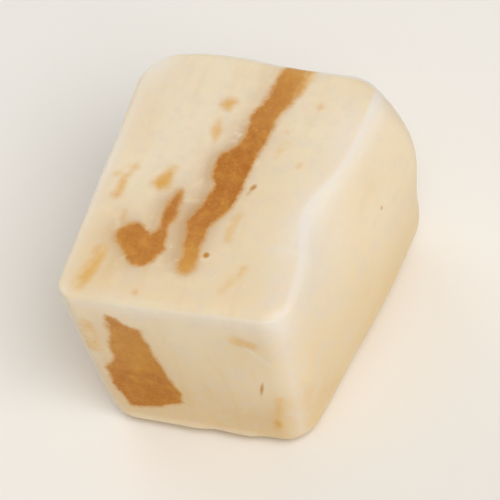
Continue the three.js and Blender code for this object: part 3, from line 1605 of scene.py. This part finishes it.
    def dress(self, block: bpy.types.Object, shift: Array) -> None:
        """Gives the block its finish and says what it stands for.

        Args:
            block: the built block.
            shift: what moved the plan to the finished mesh, in millimetres.
        """
        block.data.materials.append(self.finish.material(shift))
        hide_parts(NODE)
        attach(block, BODY)


def mesh_from_arrays(
    name: str, points: Array, squares: Array, values: Mapping[str, Array]
) -> bpy.types.Mesh:
    """A smooth-shaded mesh of four-sided faces, with named values at its points.

    Args:
        name: the mesh's name.
        points: places in metres, one row each.
        squares: four point numbers for each face.
        values: one number for each point, by name.

    Returns:
        The mesh.
    """
    mesh = bpy.data.meshes.new(name)
    mesh.vertices.add(len(points))
    mesh.vertices.foreach_set("co", points.astype(np.float32).ravel())
    mesh.loops.add(squares.size)
    mesh.loops.foreach_set("vertex_index", squares.astype(np.int32).ravel())
    mesh.polygons.add(len(squares))
    mesh.polygons.foreach_set("loop_start", np.arange(0, squares.size, squares.shape[1], dtype=np.int32))
    for key, numbers in values.items():
        layer = mesh.attributes.new(key, "FLOAT", "POINT")
        layer.data.foreach_set("value", numbers.astype(np.float32))
    mesh.update(calc_edges=True)
    mesh.validate()
    mesh.polygons.foreach_set("use_smooth", np.ones(len(mesh.polygons), dtype=bool))
    return mesh


def link(name: str, data: bpy.types.ID) -> bpy.types.Object:
    """An object at the origin, in the scene.

    Args:
        name: the object's name.
        data: its mesh, light or camera.

    Returns:
        The object.
    """
    made = bpy.data.objects.new(name, data)
    bpy.context.scene.collection.objects.link(made)
    return made


@dataclass(frozen=True)
class SoftLight:
    """A square soft light: where it stands, how wide it is and how strongly it shines at the block."""

    name: str
    direction: Place
    distance: float
    width: float
    watts: float
    colour: Colour = (1.0, 1.0, 1.0)

    def build(self, target: Vector) -> bpy.types.Object:
        """Sets the light out along its direction, facing the target.

        Args:
            target: the point it shines at.

        Returns:
            The light.
        """
        data = bpy.data.lights.new(self.name, "AREA")
        data.shape = "SQUARE"
        data.size = self.width
        data.energy = self.watts
        data.color = self.colour
        lamp = link(self.name, data)
        out = Vector(self.direction).normalized()
        lamp.location = target + out * self.distance
        lamp.rotation_euler = out.to_track_quat("Z", "Y").to_euler()
        lamp.visible_camera = False
        return lamp


@dataclass(frozen=True)
class Studio:
    """The pale floor and soft lights round the block."""

    floor_half: float = 3.0
    sky: Colour = (1.0, 1.0, 1.0)
    sky_strength: float = 0.4
    lights: tuple[SoftLight, ...] = (
        SoftLight(
            "key_light", (0.51, -0.33, 0.8), distance=0.5, width=0.3, watts=1.44, colour=(1.0, 0.99, 0.975)
        ),
        SoftLight("fill_light", (-0.75, 0.6, 0.3), distance=0.6, width=0.5, watts=1.3),
    )
    floor: FloorFinish = field(default_factory=FloorFinish)

    def build(self, target: Vector) -> None:
        """Makes the floor, the sky and the lights.

        Args:
            target: the block's middle.
        """
        corners = np.array(((-1, -1, 0), (1, -1, 0), (1, 1, 0), (-1, 1, 0))) * self.floor_half
        floor = link("pale_floor", mesh_from_arrays("pale_floor", corners, np.array(((0, 1, 2, 3),)), {}))
        floor.data.materials.append(self.floor.material())
        world = bpy.data.worlds.new("soft_sky")
        world.use_nodes = True
        sky = world.node_tree.nodes["Background"]
        sky.inputs["Color"].default_value = (*self.sky, 1.0)
        sky.inputs["Strength"].default_value = self.sky_strength
        bpy.context.scene.world = world
        for light in self.lights:
            light.build(target)


@dataclass(frozen=True)
class PhotoCamera:
    """A long lens at the photograph's angle to the block."""

    azimuth_deg: float = 32.0
    elevation_deg: float = 50.0
    roll_deg: float = -17.0
    distance: float = 0.7
    frame_width: float = 0.047
    sensor_mm: float = 36.0
    clip: Band = (0.01, 20.0)

    def build(self, target: Vector) -> bpy.types.Object:
        """Stands the camera back from the target, turned about its own axis by the roll.

        Args:
            target: the point in the middle of the picture.

        Returns:
            The camera.
        """
        turns = (self.azimuth_deg, self.elevation_deg, self.roll_deg)
        azimuth, elevation, roll = (math.radians(turn) for turn in turns)
        level = math.cos(elevation)
        back = Vector((math.sin(azimuth) * level, -math.cos(azimuth) * level, math.sin(elevation)))
        right = Vector((math.cos(azimuth), math.sin(azimuth), 0))
        up = back.cross(right)
        turned_right = right * math.cos(roll) + up * math.sin(roll)
        turned_up = up * math.cos(roll) - right * math.sin(roll)
        data = bpy.data.cameras.new("photo_camera")
        data.sensor_width = self.sensor_mm
        data.lens = self.sensor_mm * self.distance / self.frame_width
        data.clip_start, data.clip_end = self.clip
        camera = link("photo_camera", data)
        axes = Matrix((turned_right, turned_up, back)).transposed()
        camera.matrix_world = Matrix.Translation(target + back * self.distance) @ axes.to_4x4()
        bpy.context.scene.camera = camera
        return camera


def main() -> None:
    """Builds the block, the studio and the camera, and notes the block's points and faces, the lights and
    the lens.
    """
    logging.basicConfig(level=logging.INFO, format="%(name)s: %(message)s")
    block = NougatBlock().build()
    LOG.info("%s: %d points, %d faces", block.name, len(block.data.vertices), len(block.data.polygons))
    low, high = CAD_BOX
    target = (low + high) / 2
    studio = Studio()
    studio.build(target)
    LOG.info("floor and %d lights", len(studio.lights))
    camera = PhotoCamera().build(target)
    LOG.info("%s: lens %.0f mm", camera.name, camera.data.lens)
    bpy.context.scene.view_settings.view_transform = "Standard"


if __name__ == "__main__":
    main()
